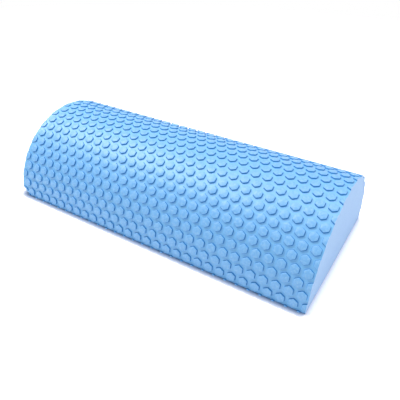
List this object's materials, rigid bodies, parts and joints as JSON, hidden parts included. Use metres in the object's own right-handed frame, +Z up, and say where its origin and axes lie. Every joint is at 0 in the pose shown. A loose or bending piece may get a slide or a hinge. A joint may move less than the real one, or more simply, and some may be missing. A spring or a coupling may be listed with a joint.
{
  "type": "half round foam roller",
  "caption": "Half round roller of firm blue foam: a flat base and an arch covered in flat-topped hexagonal massage nubs.",
  "frame": {"origin": "middle of the flat face that lies on the floor", "axes": "+X along the roller, +Y across it, +Z up towards the crown of the arch"},
  "size_m": [0.3, 0.1499, 0.074],
  "materials": {
    "embossed_eva": "satin",
    "sawn_eva": "matte",
    "smooth_eva": "matte"
  },
  "bodies": {
    "root": {"nubbed_skin": "embossed_eva", "foam_core": "sawn_eva", "base_sheet": "smooth_eva"}
  },
  "joints": []
}
